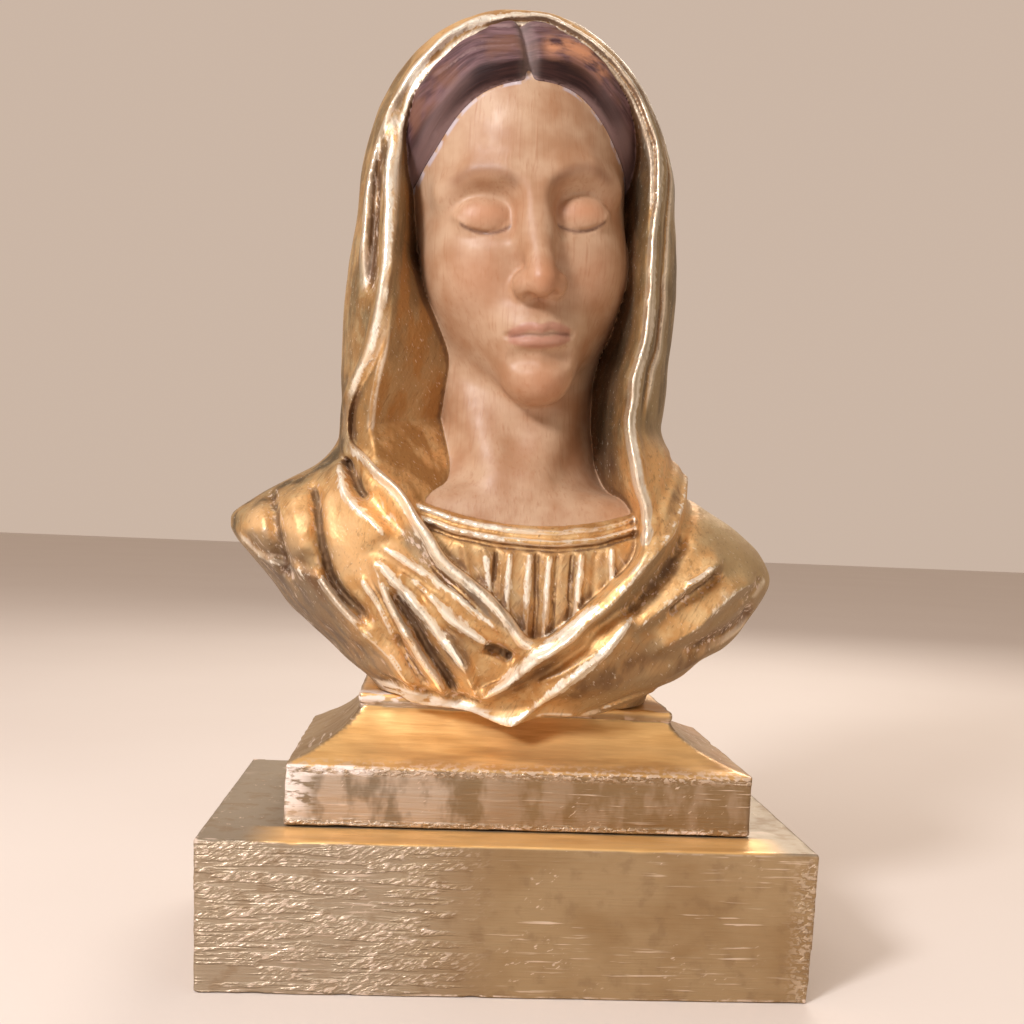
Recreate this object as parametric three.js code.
import * as THREE from 'three';

// A gilded wooden bust of a veiled woman on a stepped plinth.
// Millimetres, +Z up, the floor is z = 0, the front faces -Y, +X is the viewer's right.

// Plinth sizes
const BASE = { left: -87, right: 86, front: -55, back: 55, top: 42.3 };
const BASE_TAPER = 1.5;
const CAP = { left: -64.9, right: 70.2, front: -39.4, back: 47.4, bottom: 42.6, edge: 59.9, top: 77.2 };
const PLATFORM = { left: -46, right: 49.2, front: -22.6, back: 34 };
const PLATFORM_TILT = 0.035;
const LIP = 1.1;
const CORNER_RADIUS = 1.2;
const EDGE_WEAR = 0.7;
const COVE_CURVE = 2.1;

// Bust sizes
const FOOT_Z = 77.5;
const LOWEST_Z = 71;
const TOP_Z = 293;
const HOOD = { x: -4.5, y: -1, z: 203, rx: 52.5, ry: 50, rz: 87.6, power: 2.3, bottom: 128, nape: 10 };
const HEAD = { x: -3.5, y: -4, z: 224.5, roll: 5, yaw: 4, pitch: 5 };
const NECK_BAND_Z = 130.4;
const LINING_DEPTH = 16;
const HAIR_CREST = 6.6;
const HAIR_OVERHANG = 0.8;
const BUST_TRIANGLES = 8800;
const GRID = 1.7;

// Half sections of the shoulders, as [height, reach] from the foot up
const LEFT_SIDE = [
  [72, -41.6], [79, -41.6], [80.7, -42.8], [83, -45.2], [85.5, -48.8], [90, -54.4], [96, -61.6], [103, -69.8],
  [110, -75.2], [118, -81.6], [123, -86.4], [127, -89], [130.5, -88.6], [135, -83], [141, -73.5],
  [146, -64.5], [151, -57.5], [156, -51.5], [162, -48], [180, -44]];
const RIGHT_SIDE = [
  [72, 45.6], [78.4, 46.4], [81.9, 49.4], [84.3, 54.8], [89.6, 62.4], [98, 71.6], [107, 77.8], [116, 82],
  [125, 77.6], [131, 71], [137, 61.5], [141, 55], [146, 48], [152, 42], [160, 38], [180, 36]];
const FRONT_SIDE = [
  [70, -30.5], [78, -31], [84, -37], [98, -43], [110, -45], [122, -45], [135, -41], [150, -36], [180, -32]];
const BACK_SIDE = [
  [72, 24], [80, 26], [90, 32], [110, 39], [126, 42], [145, 40], [180, 39]];

// How far the hood's sides stand beyond its plain round form, as [height, reach]
const HOOD_LEFT = [
  [150, -1], [159, -1.6], [168, -0.9], [185, -0.4], [198, -0.5], [211, -1.5], [225, -2.4], [240, -1.2],
  [256, 0], [272, 0.8], [290, 0.5]];
const HOOD_RIGHT = [
  [146, -1], [158, -3.4], [170, -2.2], [182, -1.6], [198, -0.3], [213, 0.2], [227, -0.2], [242, 1.3],
  [265, 1.1], [290, 0.5]];

// Edge of the mantle's opening seen from the front, [x, z], from the crown down each side
const LEFT_EDGE = [
  [-5, 279.5], [-15.4, 277], [-24.3, 272], [-30.6, 266], [-35, 261], [-38.4, 255], [-40.3, 245],
  [-40.5, 232], [-39.8, 216], [-40.2, 198], [-41.5, 189], [-44, 178], [-48, 170.5], [-51.2, 162],
  [-50.6, 154], [-45, 148.3], [-34, 138], [-28.5, 130.5], [-21.8, 121.5], [-18.3, 118], [-10, 112.2],
  [-3, 105.3], [4, 98]];
const RIGHT_EDGE = [
  [4, 279], [17.4, 271.5], [26.4, 262.5], [31.4, 253.5], [35, 244], [35.6, 234], [34, 220], [33.2, 209],
  [33.6, 199], [32.3, 186], [30, 178], [28.8, 168], [28.5, 160], [29.5, 151], [31.6, 142.5], [34.2, 135.5],
  [33.8, 127.5], [31.6, 120.5], [25, 114.5], [19, 108.5], [12.5, 102.5]];

// Outer line of the cloth band on the right, the line where the right drape crosses the left one,
// and the lower hem of the right drape
const BAND_LINE = [
  [64, 176], [57.5, 153], [52.5, 146.5], [50.5, 143.5], [48.9, 139.5], [46.1, 134.5], [43.3, 129.7],
  [39.2, 124.8], [34.8, 119.7], [28.2, 111.5], [22.2, 106], [16.1, 100.6], [10.4, 95.4], [4.6, 91.2],
  [0.9, 87], [-3.6, 83.8], [-12, 79]];
const CROSS_LINE = [
  [12, 102.5], [5, 97.3], [0.6, 92.7], [-3.6, 86.6], [-7.4, 84.3], [-10.9, 82.3], [-14.5, 79.5], [-19, 75]];
const HEM_LINE = [
  [56, 91.5], [50.7, 88.8], [43.5, 86], [35.5, 82.8], [28, 80], [19, 76]];

// Folds seen from the front: [points, height, reach left of travel, reach right of travel]
const FOLDS = [
  [[[-62.2, 142.4], [-60.9, 137.9], [-59.4, 132.5], [-58, 125.7], [-56.5, 119.9], [-54.4, 114.1],
    [-51, 108.9], [-46, 104.4], [-40.8, 99.5]], -3.4, 3, 3.2],
  [[[-75.6, 139.3], [-73.6, 134.4], [-71.7, 129.5], [-70.3, 124.1], [-69.5, 119.6], [-68.2, 115.6],
    [-65.4, 111.2]], -3, 3, 4.4],
  [[[-67.4, 139], [-65.1, 128.3], [-62.6, 118]], 1.6, 5, 5],
  [[[-54.6, 149], [-52.8, 142], [-50.9, 137.1], [-47.1, 133.4], [-42.5, 129.5], [-38, 124.5]], 3.8, 3, 10],
  [[[-52.5, 149], [-50.3, 144.5], [-47.6, 139.7], [-44.5, 135.5]], -2.8, 2.8, 2.6],
  [[[-46, 140], [-39.1, 132], [-32.6, 125], [-25.2, 118.2], [-15.5, 110.5]], -2, 4.4, 5],
  [[[-42.5, 124.1], [-34.8, 120.2], [-27, 115.6], [-18.3, 110], [-10.4, 104], [-3, 98]], 2, 2, 2.8],
  [[[-35.6, 116.6], [-29.7, 112.7], [-24.4, 108.6]], 1.4, 1.6, 2],
  [[[-43.3, 121.5], [-39.4, 117.2], [-35.6, 113.1], [-31.6, 108.8], [-26.5, 103.5], [-22, 97.9],
    [-17.5, 92.1], [-13, 86]], 4, 3.8, 3.2],
  [[[-37, 113], [-32.9, 105.7], [-29.3, 100], [-25.7, 94.2], [-22.1, 89.2], [-19.5, 85],
    [-16.5, 79]], -3.8, 3.6, 3.2],
  [[[-26.8, 111.2], [-23.9, 108], [-20.4, 104.6], [-15.8, 101.1], [-11.1, 98.1],
    [-7, 95.1]], 3.2, 2.6, 3.6],
  [[[-43, 121], [-39.5, 112.5], [-36.3, 106], [-33.2, 100], [-30.5, 95]], 2.4, 1.8, 2.6],
  [[[-46, 115], [-44, 111.2], [-40, 105.6], [-37, 99.9], [-34, 95]], 1.8, 1.8, 2.6],
  [[[-88, 127], [-82.3, 121.9], [-78.5, 118.7], [-72.3, 116.4], [-64.9, 115], [-58.2, 112.5],
    [-53, 106.9], [-47.3, 100.4], [-40, 92]], 1.8, 3, 6.5],
  [[[-58.5, 115], [-52, 106.5], [-45, 99.5]], 1.3, 1.3, 1.8],
  [[[-33, 101], [-30.1, 95.3], [-26.5, 90.4], [-22.9, 84.7], [-19, 77]], 3, 4, 3.6],
  [[[-35.5, 99.5], [-33.4, 95.1], [-29.9, 89.8], [-25, 82]], -1.8, 2, 2.2],
  [[[-46, 100], [-40.2, 94.5], [-35.7, 90.2], [-31.8, 85], [-26, 77]], 2.6, 3.6, 5.4],
  [[[-20.5, 100], [-18.6, 96], [-16, 91.2], [-13.5, 85.6], [-10, 78]], 2.6, 3.4, 3.2],
  [[[-10.5, 96], [-5.5, 94.6], [-1, 92.5]], -4, 3, 3.4],
  [[[-40, 84.6], [-31.5, 82.4], [-23, 80.4], [-13.4, 79.2], [-7, 77.8]], -1.8, 1.8, 2.4],
  [[[23, 111], [18, 105.9], [13.5, 101.3], [7.9, 96.5], [1.1, 90.4], [-4.7, 84.4],
    [-12, 77]], 2.8, 4.6, 2.4],
  [[[34, 108.5], [30.1, 102.6], [27.5, 99.2], [24.6, 95.4], [19.1, 90.2], [12.2, 84.4], [3.6, 76.1],
    [-6, 68]], 4.4, 2.4, 6],
  [[[23, 96.5], [20.1, 94.1], [14, 89.9], [9.5, 87.5], [4.5, 85]], 1.5, 1.8, 2.2],
  [[[62.4, 123.6], [55.8, 120.1], [49.5, 115.5], [45.3, 111.9], [40, 107.7], [35.9, 104.2],
    [31.8, 100]], 3, 3.6, 6.5],
  [[[60.1, 119.7], [53.1, 114.3], [47.4, 110.7], [42.2, 105.7]], -2.2, 3.2, 2.8],
  [[[47.5, 115.4], [52.6, 117.7], [57, 121]], 1.3, 2.2, 2.4],
  [[[73.8, 117.6], [64.3, 113.2], [58.6, 108.8], [53.1, 103.3], [46.4, 99.1], [39.1, 95.5]], 2.8, 3.2, 6.5],
  [[[74, 110], [66.7, 102.8], [58, 98.4], [49, 94.5]], -2.6, 5, 4],
  [[[74.5, 118], [71.4, 113.1], [67.5, 109.5]], -1, 3, 3],
  [[[49, 131], [45.6, 124.8], [41.1, 118.3], [34.6, 110.7], [28, 104.3]], -2.4, 4, 3],
  [[[45, 82.6], [37.7, 80.4], [31.5, 78.6], [25, 76.6]], 1.5, 1.8, 2],
  [[[-51.5, 201], [-50.4, 209], [-49.7, 217], [-49.6, 226], [-47.6, 237.4], [-44.2, 249.4],
    [-39.3, 257.5], [-29.4, 270.6], [-15, 279.8]], 3, 2, 5],
  [[[-46.6, 194], [-46.6, 206], [-46.6, 220], [-45.6, 232], [-43.4, 243], [-39.5, 253.5]], -2, 3.4, 3.4],
];

// Pleats of the dress: [x at the neck band, x 20 mm lower, half width, height]
const PLEATS = [
  [-18, -15, 2.6, 1.3], [-12.1, -8.8, 3.2, 1.8], [-6.8, -7.9, 1.1, -1.4], [-4.6, -5.9, 1.1, 0.9],
  [-3.1, -3.8, 1.8, 1.8], [2.2, 1.9, 1.9, 1.7], [4.1, 4.6, 1.3, -1.5], [8.3, 7.4, 2.2, 1.9],
  [10.8, 9.8, 1.2, -1], [14.8, 14.5, 1.3, -1.4], [17.4, 16.8, 2.1, 1.9], [21.5, 21, 1.8, -0.8],
  [25.4, 26.8, 1.9, 1.7]];

// Colours read off the surface
const GILDING = { color: 0xb8863a, roughness: 0.42, metalness: 0.7 };
const DULL_GILDING = { color: 0x9c7a4a, roughness: 0.55, metalness: 0.55 };

const clamp = (value, low, high) => Math.min(Math.max(value, low), high);

// Smooth step from 0 at a to 1 at b; b may lie below a
function ramp(a, b, value) {
  const t = clamp((value - a) / (b - a), 0, 1);
  return t * t * (3 - 2 * t);
}

// Round bump, 1 at 0 and 0 beyond 1
function bump(s) {
  const t = Math.min(Math.abs(s), 1);
  return (1 - t) * (1 - t) * (1 + 2 * t);
}

// Fold with a crisp top, 1 at 0 and 0 beyond 1
function crest(s) {
  const t = Math.min(Math.abs(s), 1);
  return (1 - t) * (1 - t) * (1 + 0.8 * t);
}

// Union and cut with a rounded seam k wide
function join(a, b, k) {
  const h = Math.max(k - Math.abs(a - b), 0) / k;
  return Math.min(a, b) - h * h * k * 0.25;
}

function overlap(a, b, k) {
  return -join(-a, -b, k);
}

function ellipsoid(p, c, r) {
  let near = 0;
  let steep = 0;
  for (let i = 0; i < 3; i += 1) {
    const q = (p[i] - c[i]) / r[i];
    near += q * q;
    steep += (q / r[i]) * (q / r[i]);
  }
  near = Math.sqrt(near);
  return near * (near - 1) / Math.max(Math.sqrt(steep), 1e-4);
}

// Tapered round bar from a to b
function limb(p, a, b, ra, rb) {
  let along = 0;
  let length = 0;
  for (let i = 0; i < 3; i += 1) {
    along += (p[i] - a[i]) * (b[i] - a[i]);
    length += (b[i] - a[i]) ** 2;
  }
  const t = clamp(along / length, 0, 1);
  let away = 0;
  for (let i = 0; i < 3; i += 1) away += (p[i] - a[i] - (b[i] - a[i]) * t) ** 2;
  return Math.sqrt(away) - (ra + (rb - ra) * t);
}

// Bars joined end to end through [x, y, z, radius] points
function chain(p, points) {
  let best = Infinity;
  for (let i = 1; i < points.length; i += 1) {
    best = Math.min(best, limb(p, points[i - 1], points[i], points[i - 1][3], points[i][3]));
  }
  return best;
}

// Smooth curve through [place, value] knots
function curve(place, knots) {
  const z = clamp(place, knots[0][0], knots[knots.length - 1][0]);
  let i = 0;
  while (i < knots.length - 2 && z >= knots[i + 1][0]) i += 1;
  const slope = (k) => (knots[k + 1][1] - knots[k][1]) / (knots[k + 1][0] - knots[k][0]);
  const bend = (k) => {
    if (k === 0) return slope(0);
    if (k === knots.length - 1) return slope(k - 1);
    return slope(k - 1) * slope(k) <= 0 ? 0 : (slope(k - 1) + slope(k)) / 2;
  };
  const h = knots[i + 1][0] - knots[i][0];
  const t = (z - knots[i][0]) / h;
  return (1 + 2 * t) * (1 - t) ** 2 * knots[i][1] + t * (1 - t) ** 2 * h * bend(i)
    + t * t * (3 - 2 * t) * knots[i + 1][1] + t * t * (t - 1) * h * bend(i + 1);
}

// Rounded line through a few points
function smoothPath(points, closed = false, steps = 5) {
  const n = points.length;
  const pick = (i) => (closed ? points[(i + n) % n] : points[clamp(i, 0, n - 1)]);
  const line = [];
  for (let i = 0; i < (closed ? n : n - 1); i += 1) {
    for (let s = 0; s < steps; s += 1) {
      const t = s / steps;
      line.push([0, 1].map((axis) => {
        const [a, b, c, d] = [pick(i - 1), pick(i), pick(i + 1), pick(i + 2)].map((q) => q[axis]);
        return 0.5 * (2 * b + (c - a) * t + (2 * a - 5 * b + 4 * c - d) * t * t
          + (3 * b - a - 3 * c + d) * t * t * t);
      }));
    }
  }
  if (!closed) line.push(points[n - 1]);
  return line;
}

// Distance to a line, how far along it (0 to 1) and on which side (+1 left of travel)
function nearLine(x, z, line, closed = false) {
  const n = line.length;
  const count = closed ? n : n - 1;
  let total = 0;
  let best = { distance: Infinity, along: 0, side: 1 };
  for (let i = 0; i < count; i += 1) {
    const a = line[i];
    const b = line[(i + 1) % n];
    const length = Math.hypot(b[0] - a[0], b[1] - a[1]);
    const dx = (b[0] - a[0]) / length;
    const dz = (b[1] - a[1]) / length;
    const forward = (x - a[0]) * dx + (z - a[1]) * dz;
    const sideways = (z - a[1]) * dx - (x - a[0]) * dz;
    const on = clamp(forward, 0, length);
    const distance = Math.hypot(forward - on, sideways);
    if (distance < best.distance) best = { distance, along: total + on, side: Math.sign(sideways) };
    total += length;
  }
  return { ...best, along: best.along / total };
}

function isInside(x, z, loop) {
  let inside = false;
  for (let i = 0; i < loop.length; i += 1) {
    const [x0, z0] = loop[i];
    const [x1, z1] = loop[(i + 1) % loop.length];
    if ((z0 > z) !== (z1 > z) && x < ((x1 - x0) * (z - z0)) / (z1 - z0) + x0) inside = !inside;
  }
  return inside;
}

// The head's own axes: u to the viewer's right, v to the back, w up from the eye line
function headAxes() {
  const toRadians = Math.PI / 180;
  const pitch = new THREE.Matrix4().makeRotationX(HEAD.pitch * toRadians);
  const yaw = new THREE.Matrix4().makeRotationZ(HEAD.yaw * toRadians);
  const roll = new THREE.Matrix4().makeRotationY(-HEAD.roll * toRadians);
  const turned = roll.multiply(yaw).multiply(pitch);
  return [0, 1, 2].map((i) => new THREE.Vector3().setFromMatrixColumn(turned, i));
}

const HEAD_AXES = headAxes();

function toHead(x, y, z) {
  const offset = new THREE.Vector3(x - HEAD.x, y - HEAD.y, z - HEAD.z);
  return HEAD_AXES.map((axis) => axis.dot(offset));
}

// Skull, cheeks, jaw and eye sockets on plain textbook proportions
function faceForm(p) {
  const [u, v, w] = p;
  const m = [Math.abs(u), v, w];
  let f = ellipsoid(p, [0, 2, 20], [33.5, 42.5, 38.5]);
  f = join(f, ellipsoid(p, [0, -6, -10], [29.5, 33, 40]), 16);
  f = join(f, ellipsoid(m, [14, -19, -17], [14.5, 15.5, 17]), 12);
  f = join(f, limb(m, [0, -29, -44], [21, 2, -29], 9.5, 9), 12);
  f = join(f, ellipsoid(p, [0, -32.5, -48], [9.5, 9, 8.2]), 7);
  f = join(f, ellipsoid(p, [0, -28, -34], [13.5, 14, 11]), 9);
  const brow = [[2.5, -38.2, 3.5, 2.2], [8, -38.3, 8, 2.2], [16, -35.2, 9.6, 2.2], [24, -27.6, 6, 2]];
  f = join(f, chain(m, brow), 8);
  f = overlap(f, -ellipsoid(m, [14.5, -41, 0], [11, 7.6, 6.6]), 6);
  return overlap(f, -ellipsoid(m, [7, -41.5, -1], [3.4, 4.5, 6]), 5);
}

// Lowered lids over each eyeball
function addEyes(face, p) {
  const m = [Math.abs(p[0]), p[1], p[2]];
  const ball = ellipsoid(m, [14, -30.6, -2.5], [8.2, 6.2, 6.4]);
  const s = (m[0] - 14) / 7.3;
  const arc = 1 - s * s;
  const topRim = -3.6 - 2.3 * arc + 0.5 * s;
  const lowRim = -3.6 - 4.7 * arc + 0.5 * s;
  const zone = ellipsoid(m, [14, -33, -2.5], [10, 9, 8.6]);
  const upper = overlap(overlap(ball - 1.2, topRim - m[2], 0.5), zone, 2.5);
  const lower = overlap(overlap(ball - 0.8, m[2] - lowRim, 0.5), zone, 2.5);
  return join(join(join(face, ball, 0.6), upper, 1.3), lower, 2);
}

function addNose(face, p) {
  const m = [Math.abs(p[0]), p[1], p[2]];
  const bridge = [[0, -36, 6, 4], [0, -40, -4, 3.9], [0, -44.5, -14, 4], [0, -47.6, -21, 4.3]];
  let f = join(face, chain(p, bridge), 7);
  f = join(f, ellipsoid(m, [4.7, -42.6, -22.2], [3.5, 5, 3.7]), 3);
  f = join(f, ellipsoid(p, [0, -46, -23.6], [2.6, 4.6, 2.4]), 2);
  return overlap(f, -limb(m, [8.1, -40.4, -19], [8.5, -41.4, -24.6], 0.5, 0.9), 2);
}

function addMouth(face, p) {
  const m = [Math.abs(p[0]), p[1], p[2]];
  const upperLip = [[1.4, -41.9, -33.4, 1.4], [4.6, -40.9, -33.8, 1.3], [8.8, -38, -35.4, 0.7]];
  let f = join(face, chain(m, upperLip), 1.8);
  f = join(f, ellipsoid(p, [0, -40, -38.4], [6.8, 3.8, 2.3]), 1.8);
  f = overlap(f, -chain(m, [[0, -45, -36.3, 0.8], [7, -41.6, -36.2, 0.7], [9.6, -39.2, -36, 0.7]]), 1.2);
  return overlap(f, -chain(m, [[0, -43.6, -43.2, 2], [7, -40.6, -42.8, 1.5]]), 4);
}

// Centre-parted hair: a rolled lock along the hairline, then waves combed back over the crown
function hairForm(p) {
  const [u, , w] = p;
  const across = Math.abs(u);
  const steep = (33 * 2.7 / 33.5) * (across / 33.5) ** 1.7;
  const above = (w - (35.5 - 33 * (across / 33.5) ** 2.7)) / Math.hypot(1, steep);
  const wave = above + 0.9 * Math.sin(across * 0.3 + 0.5) * ramp(2, 8, above);
  const swell = 0.8 * crest((wave - 12.5) / 4) + 0.6 * Math.cos((wave - 19.5) * 0.75) * ramp(14, 19, wave);
  const mass = ellipsoid(p, [0, 3, 20], [39.5, 49, 44.3]) - swell * ramp(0.5, 4.5, across);
  let f = overlap(mass, mass + HAIR_OVERHANG * (HAIR_CREST - wave), 1.6);
  f = join(overlap(f, -above, 1), ellipsoid(p, [0, 12, -6], [35, 30, 48]), 6);
  return f + 2.8 * Math.exp(-((across / 1.5) ** 2)) * ramp(-1, 3, above);
}

function neckForm(p, torso) {
  let f = limb(p, [-2, 6, 100], [-2, 1, 145], 33, 27.2);
  f = join(f, limb(p, [-2, 1, 145], [-3, 3, 195], 27.2, 25), 4);
  f = join(f, overlap(torso + 6, p[2] - 140, 6), 14);
  f = join(f, limb(p, [-21, -8, 182], [-7, -27, 145], 3, 2.5), 9);
  return join(f, limb(p, [17, -8, 182], [3, -27, 145], 3, 2.5), 9);
}

// Rounded shoulders built on the four side curves
function torsoForm(x, y, section) {
  const centre = { x: -2, y: 2 };
  const a = x < centre.x ? centre.x - section.left : section.right - centre.x;
  const b = y < centre.y ? centre.y - section.front : section.back - centre.y;
  const qx = Math.abs(x - centre.x) / a;
  const qy = Math.abs(y - centre.y) / b;
  const { power } = section;
  const k = (qx ** power + qy ** power + 1e-9) ** (1 / power);
  const steep = Math.hypot(qx / a, qy / b) / Math.max(Math.hypot(qx, qy), 1e-4);
  return (k - 1) / Math.max(steep, 1e-3);
}

function hoodForm(x, y, z, section) {
  const beyond = x < HOOD.x ? section.hoodLeft : section.hoodRight;
  const wide = HOOD.rx + beyond * ramp(0, 12, Math.abs(x - HOOD.x));
  const depth = y > HOOD.y ? HOOD.ry - HOOD.nape * ramp(212, 150, z) : HOOD.ry;
  const level = Math.hypot((x - HOOD.x) / wide, (y - HOOD.y) / depth) + 1e-6;
  const rise = Math.max(z - HOOD.z, 0) / HOOD.rz;
  const k = (level ** HOOD.power + rise ** HOOD.power) ** (1 / HOOD.power);
  return (k - 1) * (HOOD.rx * level + HOOD.rz * rise) / (level + rise);
}

const OPENING = smoothPath([...LEFT_EDGE, ...[...RIGHT_EDGE].reverse()], true, 4);
const BAND = smoothPath(BAND_LINE);
const CROSS = smoothPath(CROSS_LINE);
const HEM = smoothPath(HEM_LINE);
const FOLD_LINES = FOLDS.map(([points]) => smoothPath(points));

// Height of all folds at one place of the front
function foldHeight(x, z) {
  let height = 0;
  FOLDS.forEach(([, size, left, right], i) => {
    const near = nearLine(x, z, FOLD_LINES[i]);
    const reach = near.side > 0 ? left : right;
    const shape = (size > 0 ? crest : bump)(near.distance / reach);
    height += size * ramp(0, 0.14, near.along) * ramp(1, 0.86, near.along) * shape;
  });
  return height;
}

// Signed distance to a line, above zero on the left of travel
function beside(x, z, line) {
  const near = nearLine(x, z, line);
  return near.distance * near.side;
}

// Distance outside the opening, and the relief that stands on the cloth, at one place of the front
function frontRelief(x, z) {
  const edge = nearLine(x, z, OPENING, true).distance * (isInside(x, z, OPENING) ? -1 : 1);
  let relief = foldHeight(x, z) * ramp(1, 5, edge);

  const across = beside(x, z, CROSS);
  const onRight = Math.max(ramp(-0.5, 0.5, across) * ramp(70, 50, x), ramp(101, 104, z) * ramp(0, 8, x));
  relief += onRight * ramp(104, 98, z) * ramp(40, 16, x) * (1.2 + 1.4 * ramp(0, 4, across));

  const beyond = beside(x, z, BAND);
  const step = 4.6 * ramp(2.4, -0.4, beyond) * (0.45 + 0.55 * ramp(8, 32, x));
  relief += (step + 0.9 * crest((beyond + 0.8) / 1.8)) * onRight * ramp(164, 150, z) * ramp(-12, -3, x);
  relief -= bump((beyond - 3.8) / 2.6) * ramp(165, 150, z) * ramp(-4, 6, x);
  relief -= 1.2 * bump((beyond + 8) / 3.2) * ramp(172, 156, z) * ramp(122, 134, z);
  relief -= 1.5 * bump((beyond + 4.4) / 2.3) * ramp(12, 20, x) * ramp(138, 124, z);
  relief -= 2.6 * ramp(-0.4, 1.2, beside(x, z, HEM)) * ramp(14, 22, x) * ramp(95, 90, z);

  const leftFall = ramp(152, 142, z) * ramp(12, 0, x) * (1 - onRight);
  const rightFall = ramp(150, 136, z) * ramp(2, 14, x);
  const flat = 1.7 * ramp(-0.2, 1.0, edge) * ramp(5.4, 3.8, edge) + 0.6 * crest((edge - 1.3) / 1.1);
  const turned = 3 * ramp(-0.8, 3.4, edge) * ramp(5.6, 3.8, edge);
  const rim = flat + (turned - flat) * ramp(-8, -20, x) * ramp(160, 175, z);
  relief += rim * (1 - leftFall) * (1 - 0.5 * rightFall);
  const hem = 2.5 + 0.11 * clamp(135 - z, 0, 40);
  const slope = clamp((hem - edge) / (hem - 0.8), 0, 1);
  relief += leftFall * (1.7 * crest((edge - 1.8) / 2.4) + 2.4 * slope - bump((edge - hem) / 1.7));
  relief -= 1.2 * ramp(150, 180, z) * ramp(-6, 12, x) * bump((edge - 6) / 1.8);
  return { edge, relief };
}

// Cords and pleats of the dress at one place of the front
function dressRelief(x, z) {
  const top = NECK_BAND_Z + 0.0054 * (x - 3.5) ** 2;
  const below = top - z;
  const twoCords = 1.3 * crest((below - 1.5) / 1.7) + 1.3 * crest((below - 4.5) / 1.7);
  const cords = twoCords - 1.2 * bump((below - 6.6) / 1.3);
  let pleats = 0;
  for (const [upper, lower, half, height] of PLEATS) {
    const middle = upper + (lower - upper) * clamp(below / 20, 0, 1);
    pleats += height * crest((x - middle) / half);
  }
  return { top, relief: cords + pleats * ramp(6.8, 8.8, below) };
}

// Height of the bust's underside, which hangs over the front edge of the platform
function footHeight(x, y) {
  const hang = 2.2 * ramp(-44, -30, x) * ramp(38, 22, x) + 3.4 * bump((x + 2) / 13);
  return FOOT_Z - PLATFORM_TILT * x - hang * ramp(-24.5, -28, y);
}

// Soft folds that fan from the crown down the back
function backRelief(x, y, z) {
  const turn = Math.atan2(x + 4, y + 8);
  const phase = turn * 9 + 0.6 * Math.sin(z * 0.03 + 1) + 0.35 * Math.sin(turn * 3.1 + 0.5);
  const swell = (0.5 + 0.5 * Math.cos(phase)) ** 1.4 - 0.45;
  return 2.6 * swell * ramp(296, 262, z) * ramp(70, 100, z) * ramp(4, 26, y);
}

// Signed distance to the whole carving at one point
function bustField(x, y, z, section, front, dress) {
  const p = [x, y, z];
  const torso = torsoForm(x, y, section);
  const hood = overlap(hoodForm(x, y, z, section), HOOD.bottom - z, 10);
  const plain = join(hood, overlap(torso, z - 172, 10), 9);
  const outer = plain - front.relief * ramp(22, -8, y) - backRelief(x, y, z);
  const flare = 0.22 + 0.75 * ramp(12, -18, x) * ramp(214, 184, z) * ramp(126, 140, z);
  const hollow = overlap(front.edge + flare * clamp(y + 37, 0, 60), y - LINING_DEPTH, 3);
  const mantle = overlap(outer, -hollow, 1.5);
  const gown = overlap(torso + 4.6 - dress.relief * ramp(10, -20, y), z - dress.top, 1);
  const covered = Math.min(outer + 3, Math.max(front.edge + 1.5, y - 10));
  let skin = neckForm(p, torso);
  let hair = Infinity;
  if (z > 150) {
    const q = toHead(x, y, z);
    skin = join(skin, addMouth(addNose(addEyes(faceForm(q), q), q), q), 5);
    hair = overlap(hairForm(q), covered, 2);
  }
  skin = overlap(skin, covered, 2);
  const carving = Math.min(join(mantle, gown, 0.8), skin, hair);
  return overlap(carving, footHeight(x, y) - z, 0.6);
}

// The eight corners of a grid cell, and its six faces as rings of corners
const CELL_CORNERS = [0, 1, 2, 3, 4, 5, 6, 7].map((c) => [c & 1, (c >> 1) & 1, (c >> 2) & 1]);
const CELL_FACES = [[0, 1, 3, 2], [4, 5, 7, 6], [0, 1, 5, 4], [2, 3, 7, 6], [0, 2, 6, 4], [1, 3, 7, 5]];

// Fills places where solid cells would meet only along an edge or at a corner
function fillPinches(values, size) {
  const fillDepth = -0.05;
  const at = (i, j, k) => (k * size[1] + j) * size[0] + i;
  const offsets = CELL_CORNERS.map(([a, b, c]) => at(a, b, c));
  let filled = true;
  while (filled) {
    filled = false;
    for (let k = 0; k < size[2] - 1; k += 1) {
      for (let j = 0; j < size[1] - 1; j += 1) {
        for (let i = 0; i < size[0] - 1; i += 1) {
          const start = at(i, j, k);
          const solid = offsets.map((offset) => values[start + offset] < 0);
          const count = solid.filter(Boolean).length;
          if (count < 2 || count > 6) continue;
          const rings = CELL_FACES.filter(([a, b, c, d]) => (
            solid[a] === solid[c] && solid[b] === solid[d] && solid[a] !== solid[b]));
          if (count === 2 || count === 6) {
            const odd = solid.indexOf(count === 2);
            if (solid[7 - odd] === (count === 2)) rings.push([0, 1, 2, 3, 4, 5, 6, 7]);
          }
          for (const ring of rings) {
            const valueAt = (corner) => values[start + offsets[corner]];
            const open = ring.filter((c) => !solid[c]).sort((a, b) => valueAt(a) - valueAt(b));
            values[start + offsets[open[0]]] = fillDepth;
            solid[open[0]] = true;
            filled = true;
          }
        }
      }
    }
  }
}

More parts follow.
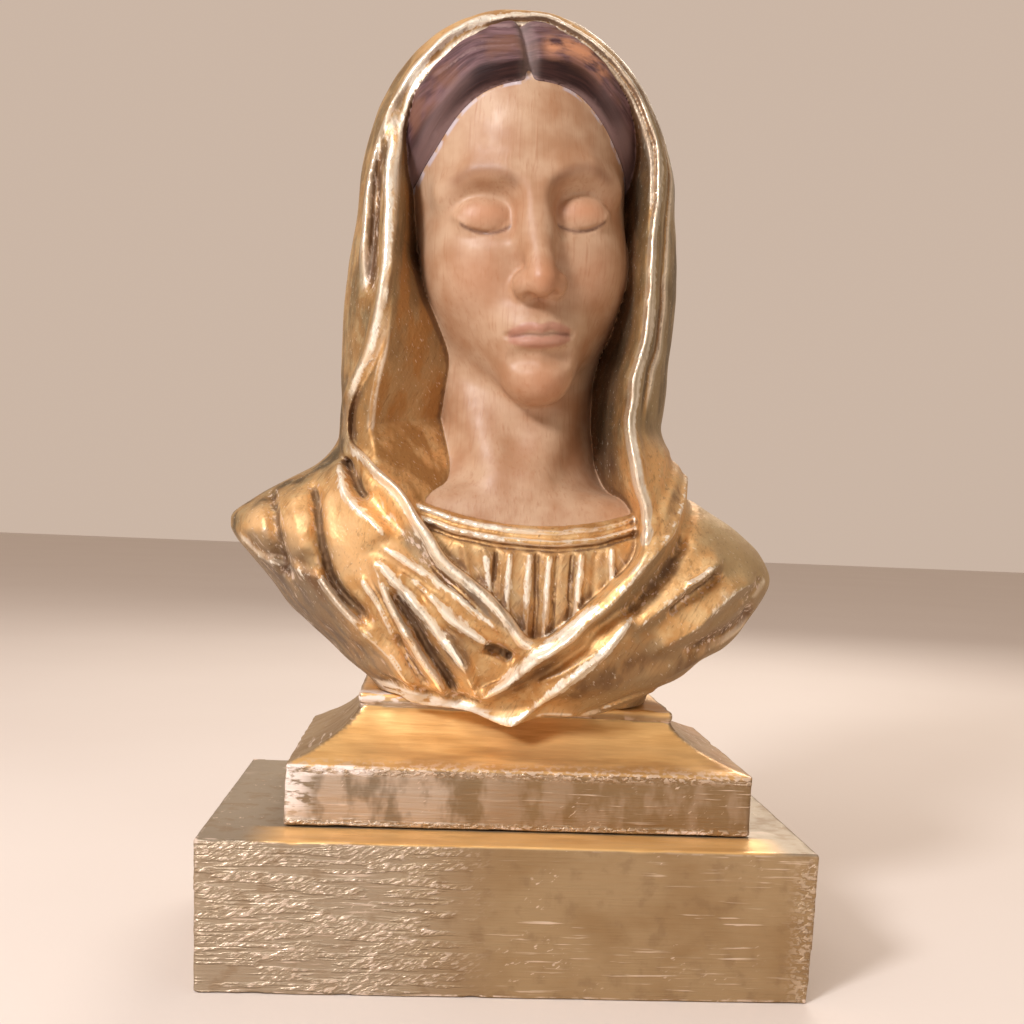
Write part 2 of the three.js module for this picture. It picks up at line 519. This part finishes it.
// Closed skin of the zero level of a field, one point in each crossed cell
function skinOf(low, high, step, columnOf, layerOf, field) {
  const size = [0, 1, 2].map((i) => Math.ceil((high[i] - low[i]) / step) + 1);
  const at = (i, j, k) => (k * size[1] + j) * size[0] + i;
  const values = new Float32Array(size[0] * size[1] * size[2]);
  const layers = Array.from({ length: size[2] }, (_, k) => layerOf(low[2] + k * step));
  for (let i = 0; i < size[0]; i += 1) {
    for (let k = 0; k < size[2]; k += 1) {
      const x = low[0] + i * step;
      const z = low[2] + k * step;
      const column = columnOf(x, z);
      for (let j = 0; j < size[1]; j += 1) {
        values[at(i, j, k)] = field(x, low[1] + j * step, z, layers[k], column);
      }
    }
  }
  const corners = CELL_CORNERS;
  fillPinches(values, size);
  const edges = [];
  for (let a = 0; a < 8; a += 1) {
    for (const bit of [1, 2, 4]) if (!(a & bit)) edges.push([a, a | bit]);
  }
  const points = [];
  const pointOf = new Map();
  for (let k = 0; k < size[2] - 1; k += 1) {
    for (let j = 0; j < size[1] - 1; j += 1) {
      for (let i = 0; i < size[0] - 1; i += 1) {
        const v = corners.map(([a, b, c]) => values[at(i + a, j + b, k + c)]);
        const sum = [0, 0, 0];
        let count = 0;
        for (const [a, b] of edges) {
          if ((v[a] < 0) === (v[b] < 0)) continue;
          const t = v[a] / (v[a] - v[b]);
          for (let q = 0; q < 3; q += 1) sum[q] += corners[a][q] + (corners[b][q] - corners[a][q]) * t;
          count += 1;
        }
        if (!count) continue;
        pointOf.set(at(i, j, k), points.length);
        points.push([i, j, k].map((n, q) => low[q] + (n + sum[q] / count) * step));
      }
    }
  }
  const triangles = [];
  for (let k = 1; k < size[2] - 1; k += 1) {
    for (let j = 1; j < size[1] - 1; j += 1) {
      for (let i = 1; i < size[0] - 1; i += 1) {
        const here = values[at(i, j, k)] < 0;
        for (let axis = 0; axis < 3; axis += 1) {
          const next = [i, j, k];
          next[axis] += 1;
          if ((values[at(...next)] < 0) === here) continue;
          const side = [(axis + 1) % 3, (axis + 2) % 3];
          const ring = [[1, 1], [0, 1], [0, 0], [1, 0]].map(([d1, d2]) => {
            const cell = [i, j, k];
            cell[side[0]] -= d1;
            cell[side[1]] -= d2;
            return pointOf.get(at(...cell));
          });
          if (!here) ring.reverse();
          triangles.push([ring[0], ring[1], ring[2]], [ring[0], ring[2], ring[3]]);
        }
      }
    }
  }
  return { points, triangles };
}

// Drops the skins of closed inner hollows, which leaves them solid
function outerSkin({ points, triangles }) {
  const parent = points.map((_, i) => i);
  const root = (i) => {
    let top = i;
    while (parent[top] !== top) top = parent[top];
    let here = i;
    while (parent[here] !== top) [parent[here], here] = [top, parent[here]];
    return top;
  };
  for (const [a, b, c] of triangles) {
    parent[root(a)] = root(b);
    parent[root(b)] = root(c);
  }
  const sizes = new Map();
  for (const [a] of triangles) sizes.set(root(a), (sizes.get(root(a)) || 0) + 1);
  const [outer] = [...sizes].sort((a, b) => b[1] - a[1])[0];
  return { points, triangles: triangles.filter(([a]) => root(a) === outer) };
}

// Smallest-first queue of edge merges
class Queue {
  constructor() {
    this.items = [];
  }

  push(item) {
    const { items } = this;
    let i = items.push(item) - 1;
    while (i > 0 && items[(i - 1) >> 1].cost > item.cost) {
      items[i] = items[(i - 1) >> 1];
      i = (i - 1) >> 1;
    }
    items[i] = item;
  }

  pop() {
    const { items } = this;
    const first = items[0];
    const last = items.pop();
    if (!items.length) return first;
    let i = 0;
    for (;;) {
      let child = 2 * i + 1;
      if (child >= items.length) break;
      if (child + 1 < items.length && items[child + 1].cost < items[child].cost) child += 1;
      if (items[child].cost >= last.cost) break;
      items[i] = items[child];
      i = child;
    }
    items[i] = last;
    return first;
  }
}

const subtract = (a, b) => [a[0] - b[0], a[1] - b[1], a[2] - b[2]];
const dot = (a, b) => a[0] * b[0] + a[1] * b[1] + a[2] * b[2];
const cross = (a, b) => [a[1] * b[2] - a[2] * b[1], a[2] * b[0] - a[0] * b[2], a[0] * b[1] - a[1] * b[0]];

// Merges edges of a closed skin, least change of shape first, down to a number of triangles
function simplify({ points, triangles }, target) {
  const place = points.map((p) => [...p]);
  const faces = triangles.map((t) => [...t]);
  const around = place.map(() => new Set());
  const quadric = place.map(() => new Float64Array(10));
  const stamp = new Int32Array(place.length);
  const normalOf = (a, b, c) => cross(subtract(b, a), subtract(c, a));
  faces.forEach((face, f) => {
    const n = normalOf(...face.map((i) => place[i]));
    const area = Math.hypot(...n);
    if (area > 0) {
      const [a, b, c] = n.map((q) => q / area);
      const d = -dot([a, b, c], place[face[0]]);
      const terms = [a * a, a * b, a * c, a * d, b * b, b * c, b * d, c * c, c * d, d * d];
      for (const i of face) terms.forEach((term, q) => { quadric[i][q] += term * area; });
    }
    for (const i of face) around[i].add(f);
  });
  const errorAt = (q, [x, y, z]) => q[0] * x * x + 2 * q[1] * x * y + 2 * q[2] * x * z + 2 * q[3] * x
    + q[4] * y * y + 2 * q[5] * y * z + 2 * q[6] * y + q[7] * z * z + 2 * q[8] * z + q[9];
  const queue = new Queue();
  const offer = (a, b) => {
    const q = quadric[a].map((value, i) => value + quadric[b][i]);
    const middle = [0, 1, 2].map((i) => (place[a][i] + place[b][i]) / 2);
    const hold = 1e-3 * (q[0] + q[4] + q[7]) + 1e-9;
    const rows = new THREE.Matrix3();
    rows.set(q[0] + hold, q[1], q[2], q[1], q[4] + hold, q[5], q[2], q[5], q[7] + hold);
    const right = new THREE.Vector3(...[3, 6, 8].map((term, i) => hold * middle[i] - q[term]));
    const best = right.applyMatrix3(rows.invert()).toArray();
    const span = Math.hypot(...subtract(place[a], place[b]));
    const spot = Math.hypot(...subtract(best, middle)) < 1.5 * span ? best : middle;
    const cost = Math.max(errorAt(q, spot), 0) + 1e-5 * span * span;
    queue.push({ cost, a, b, spot, stamps: stamp[a] + stamp[b], q });
  };
  const neighbours = (i) => {
    const found = new Set();
    for (const f of around[i]) for (const j of faces[f]) if (j !== i) found.add(j);
    return found;
  };
  place.forEach((_, i) => {
    for (const j of neighbours(i)) if (j > i) offer(i, j);
  });
  const keepsShape = (i, other, spot) => {
    for (const f of around[i]) {
      if (faces[f].includes(other)) continue;
      const before = faces[f].map((j) => place[j]);
      const after = faces[f].map((j) => (j === i ? spot : place[j]));
      const n0 = normalOf(...before);
      const n1 = normalOf(...after);
      const area = Math.hypot(...n1);
      const sides = [0, 1, 2].map((s) => Math.hypot(...subtract(after[s], after[(s + 1) % 3])));
      if (area < 0.02 * Math.max(...sides) ** 2) return false;
      if (dot(n0, n1) < 0.35 * area * Math.hypot(...n0)) return false;
    }
    return true;
  };
  let left = faces.length;
  while (left > target && queue.items.length) {
    const { a, b, spot, stamps, q } = queue.pop();
    if (!around[a] || !around[b] || stamps !== stamp[a] + stamp[b]) continue;
    const nearB = neighbours(b);
    let shared = 0;
    for (const i of neighbours(a)) if (nearB.has(i)) shared += 1;
    if (shared !== 2 || !keepsShape(a, b, spot) || !keepsShape(b, a, spot)) continue;
    for (const f of around[b]) {
      if (faces[f].includes(a)) {
        for (const i of faces[f]) if (i !== b) around[i].delete(f);
        faces[f] = null;
        left -= 1;
      } else {
        faces[f] = faces[f].map((i) => (i === b ? a : i));
        around[a].add(f);
      }
    }
    around[b] = null;
    place[a] = spot;
    quadric[a] = q;
    const ring = neighbours(a);
    stamp[a] += 1;
    for (const i of ring) offer(Math.min(a, i), Math.max(a, i));
  }
  const used = new Map();
  const keptPoints = [];
  const keptTriangles = faces.filter(Boolean).map((face) => face.map((i) => {
    if (!used.has(i)) {
      used.set(i, keptPoints.length);
      keptPoints.push(place[i]);
    }
    return used.get(i);
  }));
  return { points: keptPoints, triangles: keptTriangles };
}

// Closed stack of rounded rectangles, each { left, right, front, back, z } and maybe a tilt to the right
function stack(levels) {
  const cornerSteps = 4;
  const ring = (level) => {
    const r = CORNER_RADIUS;
    const centres = [[level.right - r, level.back - r], [level.left + r, level.back - r],
      [level.left + r, level.front + r], [level.right - r, level.front + r]];
    return centres.flatMap(([x, y], quarter) => Array.from({ length: cornerSteps + 1 }, (_, s) => {
      const angle = (quarter + s / cornerSteps) * Math.PI / 2;
      const px = x + r * Math.cos(angle);
      return [px, y + r * Math.sin(angle), level.z - (level.tilt || 0) * px];
    }));
  };
  const rings = levels.map(ring);
  const n = rings[0].length;
  const points = rings.flat();
  const triangles = [];
  for (let level = 0; level < rings.length - 1; level += 1) {
    for (let i = 0; i < n; i += 1) {
      const a = level * n + i;
      const b = level * n + (i + 1) % n;
      triangles.push([a, b, b + n], [a, b + n, a + n]);
    }
  }
  const last = (rings.length - 1) * n;
  for (let i = 1; i < n - 1; i += 1) {
    triangles.push([0, i + 1, i], [last, last + i, last + i + 1]);
  }
  return { points, triangles };
}

const inset = (box, amount, z) => ({
  left: box.left + amount,
  right: box.right - amount,
  front: box.front + amount,
  back: box.back - amount,
  z,
});

function baseBlock() {
  return stack([
    inset(BASE, BASE_TAPER + EDGE_WEAR * 0.6, 0),
    inset(BASE, BASE_TAPER, EDGE_WEAR),
    inset(BASE, 0, BASE.top - EDGE_WEAR),
    inset(BASE, EDGE_WEAR * 0.3, BASE.top - EDGE_WEAR * 0.4),
    inset(BASE, EDGE_WEAR, BASE.top),
  ]);
}

// Upper block whose four sides sweep in as a cove to the tilted platform under the bust
function capBlock() {
  const coveTop = CAP.top - LIP;
  const between = (a, b, t) => a + (b - a) * t;
  const levels = [inset(CAP, 0, CAP.bottom), inset(CAP, 0, CAP.edge - 0.7), inset(CAP, 0.6, CAP.edge)];
  const steps = 8;
  for (let s = 1; s <= steps; s += 1) {
    const t = s / steps;
    const drawn = 1 - (1 - t) ** COVE_CURVE;
    levels.push({
      left: between(CAP.left + 0.6, PLATFORM.left + 0.6, drawn),
      right: between(CAP.right - 0.6, PLATFORM.right - 0.6, drawn),
      front: between(CAP.front + 0.6, PLATFORM.front + 0.6, drawn),
      back: between(CAP.back - 0.6, PLATFORM.back - 0.6, drawn),
      z: between(CAP.edge, coveTop, t),
      tilt: PLATFORM_TILT * t,
    });
  }
  const ledge = (amount, z) => ({ ...inset(PLATFORM, amount, z), tilt: PLATFORM_TILT });
  levels.push(ledge(0, coveTop + 0.3), ledge(0, CAP.top - 0.4), ledge(0.6, CAP.top));
  return stack(levels);
}

function carvedBust() {
  const low = [-95, -66, LOWEST_Z - GRID];
  const high = [90, 58, TOP_Z + 6];
  const skin = skinOf(
    low,
    high,
    GRID,
    (x, z) => ({ front: frontRelief(x, z), dress: dressRelief(x, z) }),
    (z) => ({
      left: curve(z, LEFT_SIDE),
      right: curve(z, RIGHT_SIDE),
      front: curve(z, FRONT_SIDE),
      back: curve(z, BACK_SIDE),
      power: 2.35 + 0.9 * ramp(94, 80, z),
      hoodLeft: curve(z, HOOD_LEFT),
      hoodRight: curve(z, HOOD_RIGHT),
    }),
    (x, y, z, section, column) => bustField(x, y, z, section, column.front, column.dress),
  );
  return simplify(outerSkin(skin), BUST_TRIANGLES);
}

function meshOf(name, { points, triangles }, finish) {
  const geometry = new THREE.BufferGeometry();
  geometry.setAttribute('position', new THREE.Float32BufferAttribute(points.flat(), 3));
  geometry.setIndex(triangles.flat());
  geometry.computeVertexNormals();
  const mesh = new THREE.Mesh(geometry, new THREE.MeshStandardMaterial(finish));
  mesh.name = name;
  return mesh;
}

const bust = new THREE.Group();
bust.name = 'religious_bust';
bust.add(
  meshOf('plinth_base', baseBlock(), DULL_GILDING),
  meshOf('plinth_cap', capBlock(), DULL_GILDING),
  meshOf('bust', carvedBust(), GILDING),
);

export default bust;
